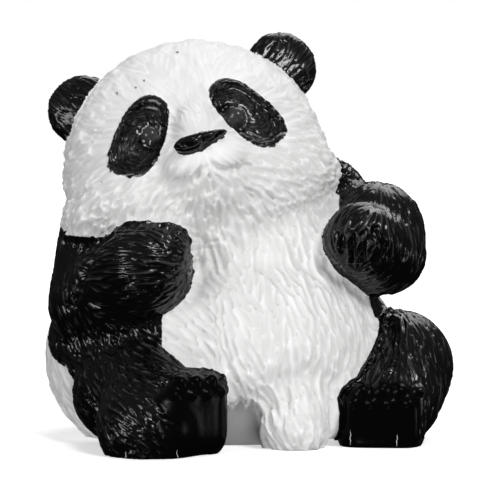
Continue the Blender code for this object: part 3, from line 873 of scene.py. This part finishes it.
def sit_flat(mesh):
    """Cuts the figure off flat at z = 0 and closes the cut."""
    shape = bmesh.new()
    shape.from_mesh(mesh)
    everything = shape.verts[:] + shape.edges[:] + shape.faces[:]
    cut = bmesh.ops.bisect_plane(shape, geom=everything, plane_no=(0, 0, 1), clear_inner=True)
    rim = [e for e in cut["geom_cut"] if isinstance(e, bmesh.types.BMEdge)]
    bmesh.ops.edgenet_fill(shape, edges=rim)
    bmesh.ops.triangulate(shape, faces=shape.faces[:])
    bmesh.ops.recalc_face_normals(shape, faces=shape.faces[:])
    shape.to_mesh(mesh)
    shape.free()


def thin_out(figure):
    """Brings the triangles down to the number that the piece may have."""
    figure.data.calc_loop_triangles()
    fewer = figure.modifiers.new("fewer_triangles", "DECIMATE")
    fewer.ratio = TRIANGLES / len(figure.data.loop_triangles)
    applied(figure)


def keep_values(mesh, name, values):
    """Stores one number for each point, for the material to read."""
    mesh.attributes.new(name, "FLOAT", "POINT").data.foreach_set("value", values.astype(np.float32))


def build_figure():
    figure = bpy.data.objects.new("panda", bpy.data.meshes.new("panda"))
    bpy.context.scene.collection.objects.link(figure)
    masses = bmesh.new()
    for ball in TORSO + SKULL + [TUFT, LEFT_SHOULDER]:
        add_ball(masses, ball)
    for limb in (RIGHT_ARM, LEFT_ARM, RIGHT_LEG, LEFT_LEG):
        add_limb(masses, limb)
    for foot in (RIGHT_FOOT, LEFT_FOOT):
        add_block(masses, foot)
    joined(figure, masses, SOFT_VOXEL, SOFT_STEPS)
    hollow_eyes(figure.data)
    hollow_base(figure.data)
    masses = bmesh.new()
    masses.from_mesh(figure.data)
    for ball in EARS + EYEBALLS + NOSE + toes(RIGHT_FOOT) + toes(LEFT_FOOT):
        add_ball(masses, ball)
    joined(figure, masses, FINE_VOXEL, CRISP_STEPS)
    groove_mouth(figure.data)
    groove_arms(figure.data)
    raise_rims(figure.data)
    carve_fur(figure.data)
    thin_out(figure)
    sit_flat(figure.data)
    points, _ = points_of(figure.data)
    keep_values(figure.data, "black", paint_margin(points))
    # The base hollows beside the tuft, for their painted shade
    keep_values(figure.data, "painted_base_shade", base_hollow(points))
    keep_values(figure.data, "sole", ramp(sole_reach(points), *SOLE_PAINT))
    figure.data.shade_smooth()
    return figure


class Nodes:
    """Adds nodes to a material or a world and links them."""

    def __init__(self, tree, shader):
        self.tree = tree
        self.shader = tree.nodes[shader]

    def add(self, kind, inputs, **settings):
        """A new node's outputs. Inputs go by name or number, as sockets to link or as plain values."""
        node = self.tree.nodes.new(kind)
        for name, value in settings.items():
            setattr(node, name, value)
        for name, value in inputs.items():
            if isinstance(value, bpy.types.NodeSocket):
                self.tree.links.new(value, node.inputs[name])
            else:
                node.inputs[name].default_value = value
        return node.outputs

    def maths(self, operation, *values):
        return self.add("ShaderNodeMath", dict(enumerate(values)), operation=operation)[0]

    def vectors(self, operation, *values):
        return self.add("ShaderNodeVectorMath", dict(enumerate(values)), operation=operation)

    def marked(self, place, marks):
        """1 inside the marks and 0 outside; the place is in per cent of the height."""
        flat = self.vectors("MULTIPLY", place, (1, 0, 1))[0]
        nearest = None
        for mark in marks:
            offset = self.vectors("SUBTRACT", flat, (mark.x, 0, mark.z))[0]
            share = self.vectors("DIVIDE", offset, (mark.half_width, 1, mark.half_height))[0]
            reach = self.vectors("LENGTH", share)["Value"]
            nearest = reach if nearest is None else self.maths("MINIMUM", nearest, reach)
        depth = self.add("ShaderNodeSeparateXYZ", {0: place})["Y"]
        front = self.maths("LESS_THAN", depth, MARK_FRONT)
        return self.maths("MULTIPLY", self.step(nearest, *MARK_EDGE), front)

    def stored(self, name):
        """The numbers kept with the mesh's points under a name."""
        return self.add("ShaderNodeAttribute", {}, attribute_name=name)["Fac"]

    def noise(self, place, kind):
        """Noise from 0 to 1, with its scale in turns for one per cent of the height."""
        inputs = {"Vector": place, "Scale": kind.scale / SHARE, "Detail": kind.detail}
        return self.add("ShaderNodeTexNoise", inputs)["Fac"]

    def step(self, value, start, end):
        """A number that goes from 0 to 1 as the value goes from start to end."""
        return self.add("ShaderNodeMapRange", {"Value": value, "From Min": start, "From Max": end})["Result"]

    def between(self, share, low, high):
        """A number that goes from low to high with the share."""
        return self.add("ShaderNodeMapRange", {"Value": share, "To Min": low, "To Max": high})["Result"]

    def mixed_numbers(self, share, first, second):
        """A number between two; sockets 0, 2 and 3 are the share and the two numbers."""
        return self.add("ShaderNodeMix", {0: share, 2: first, 3: second})[0]

    def mixed(self, share, first, second):
        """A colour between two; sockets 0, 6 and 7 are the share and the two colours."""
        return self.add("ShaderNodeMix", {0: share, 6: first, 7: second}, data_type="RGBA")[2]

    def into(self, name, value):
        """Links the value to an input of the shader."""
        self.tree.links.new(value, self.shader.inputs[name])


def painted_resin():
    """White satin paint and glossy black paint, with a ragged border between them."""
    material = bpy.data.materials.new("painted_resin")
    material.use_nodes = True
    nodes = Nodes(material.node_tree, "Principled BSDF")
    place = nodes.add("ShaderNodeTexCoord", {})["Object"]
    edge = nodes.maths("MULTIPLY_ADD", nodes.noise(place, RAG), RAGGEDNESS, nodes.stored("black"))
    black = nodes.step(edge, RAGGEDNESS / 2 - PAINT_EDGE, RAGGEDNESS / 2 + PAINT_EDGE)
    sole = nodes.stored("sole")
    hollow = nodes.stored("hollow")
    white = nodes.mixed(nodes.noise(place, CLOUD), WHITE_DULL, WHITE_BRIGHT)
    # Painted shade in the carved hollows of the white fur
    white = nodes.mixed(nodes.between(hollow, 0, HOLLOW_SHADE_SHARE), white, HOLLOW_SHADE)
    # Painted shade in the sunk base beside the tuft
    white = nodes.mixed(nodes.stored("painted_base_shade"), white, PAINTED_BASE_SHADE)
    shares = nodes.vectors("SCALE", place, (0, 0, 0), (0, 0, 0), 1 / SHARE)[0]
    wander = nodes.add("ShaderNodeTexNoise", {"Vector": shares, "Scale": WANDER_SCALE})["Color"]
    shares = nodes.vectors("MULTIPLY_ADD", wander, (MARK_WANDER,) * 3, shares)[0]
    shares = nodes.vectors("SUBTRACT", shares, (MARK_WANDER / 2,) * 3)[0]
    white = nodes.mixed(nodes.marked(shares, SPECKS), white, SPECK)
    # Painted highlight: lighter black on the stroke crests and the eyeballs, plain black in the hollows and
    # on the soles
    below_ridges = nodes.step(nodes.maths("MAXIMUM", hollow, sole), RIDGE_TOP, RIDGE_FOOT)
    painted = nodes.mixed(below_ridges, BLACK_RIDGE_HIGHLIGHT, BLACK)
    # Painted glints round the right eyeball, and pale hairlines on the soles
    painted = nodes.mixed(nodes.marked(shares, EYE_GLINTS_AND_SOLE_LINES), painted, GLINT_AND_LINE_PALE)
    nodes.into("Base Color", nodes.mixed(black, white, painted))
    black_shine = nodes.between(sole, BLACK_SHINE, SOLE_SHINE)
    nodes.into("Specular IOR Level", nodes.mixed_numbers(black, WHITE_SHINE, black_shine))
    grain = nodes.noise(place, GRAIN)
    dull = nodes.between(grain, *WHITE_ROUGHNESS)
    shiny = nodes.between(grain, *BLACK_ROUGHNESS)
    nodes.into("Roughness", nodes.mixed_numbers(black, dull, shiny))
    grainy = {"Height": grain, "Strength": GRAIN_STRENGTH, "Distance": GRAIN_DEPTH * SHARE}
    nodes.into("Normal", nodes.add("ShaderNodeBump", grainy)["Normal"])
    return material


def aim(thing, target):
    """Turns a camera or a light, which look along their own -Z, towards the target."""
    thing.rotation_euler = (Vector(target) - thing.location).to_track_quat("-Z", "Y").to_euler()


def photo_camera():
    """The photograph's view: level with the head, looking down by a few degrees."""
    camera = bpy.data.objects.new("camera", bpy.data.cameras.new("camera"))
    bpy.context.scene.collection.objects.link(camera)
    bpy.context.scene.camera = camera
    camera.location = Vector((0, -CAMERA_DISTANCE, CAMERA_HEIGHT)) * SHARE
    drop = CAMERA_DISTANCE * math.tan(math.radians(CAMERA_DOWN))
    aim(camera, Vector((0, 0, CAMERA_HEIGHT - drop)) * SHARE)
    camera.data.sensor_width = SENSOR
    camera.data.lens = SENSOR * FOCAL_PIXELS / IMAGE_SIDE
    camera.data.shift_x = (IMAGE_SIDE / 2 - MIDDLE_PIXEL) / IMAGE_SIDE
    camera.data.clip_end = CAMERA_SIGHT


def shine(lamp):
    """A far, wide light from a direction given by its turn from the front and its height, in degrees."""
    light = bpy.data.objects.new(lamp.name, bpy.data.lights.new(lamp.name, "SUN"))
    bpy.context.scene.collection.objects.link(light)
    turn = math.radians(lamp.turn)
    height = math.radians(lamp.height)
    side = math.cos(height)
    light.location = (math.sin(turn) * side, -math.cos(turn) * side, math.sin(height))
    aim(light, (0, 0, 0))
    light.data.energy = lamp.strength
    light.data.angle = math.radians(lamp.width)
    light.visible_glossy = lamp.gloss


def surround():
    """A world that is white to the camera and lights the figure more from above than from below."""
    world = bpy.data.worlds.new("surround")
    bpy.context.scene.world = world
    world.use_nodes = True
    nodes = Nodes(world.node_tree, "Background")
    place = nodes.add("ShaderNodeTexCoord", {})["Generated"]
    height = nodes.add("ShaderNodeSeparateXYZ", {0: place})["Z"]
    ends = {}
    for end, (direction, strength) in {"Min": SKY_LOW, "Max": SKY_HIGH}.items():
        ends["From " + end] = direction
        ends["To " + end] = strength
    sky = nodes.add("ShaderNodeMapRange", {"Value": height, **ends})["Result"]
    seen = nodes.add("ShaderNodeLightPath", {})
    sky = nodes.maths("MULTIPLY", sky, nodes.between(seen["Is Glossy Ray"], 1, SKY_GLOSS))
    nodes.into("Strength", nodes.maths("MAXIMUM", sky, seen["Is Camera Ray"]))
    nodes.shader.inputs["Color"].default_value = PURE_WHITE


def pale_floor():
    """A wide floor that glows white and throws no light or shadow on the figure."""
    sheet = bpy.data.meshes.new("floor")
    shape = bmesh.new()
    bmesh.ops.create_grid(shape, x_segments=1, y_segments=1, size=FLOOR_HALF * SHARE)
    shape.to_mesh(sheet)
    shape.free()
    floor = bpy.data.objects.new("floor", sheet)
    bpy.context.scene.collection.objects.link(floor)
    pale = bpy.data.materials.new("floor")
    pale.use_nodes = True
    settings = {
        "Base Color": FLOOR_COLOUR,
        "Roughness": FLOOR_ROUGHNESS,
        "Specular IOR Level": 0,
        "Emission Color": PURE_WHITE,
        "Emission Strength": FLOOR_GLOW,
    }
    for name, value in settings.items():
        pale.node_tree.nodes["Principled BSDF"].inputs[name].default_value = value
    sheet.materials.append(pale)
    floor.visible_diffuse = False
    floor.visible_glossy = False
    floor.visible_shadow = False


def studio():
    """The floor, the white surround and the soft lamps, shown in plain display colours."""
    pale_floor()
    surround()
    for lamp in LAMPS:
        shine(lamp)
    bpy.context.scene.view_settings.view_transform = "Standard"


def main():
    figure = build_figure()
    figure.data.materials.append(painted_resin())
    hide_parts("panda_figurine")
    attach(figure, "root")
    photo_camera()
    studio()


main()
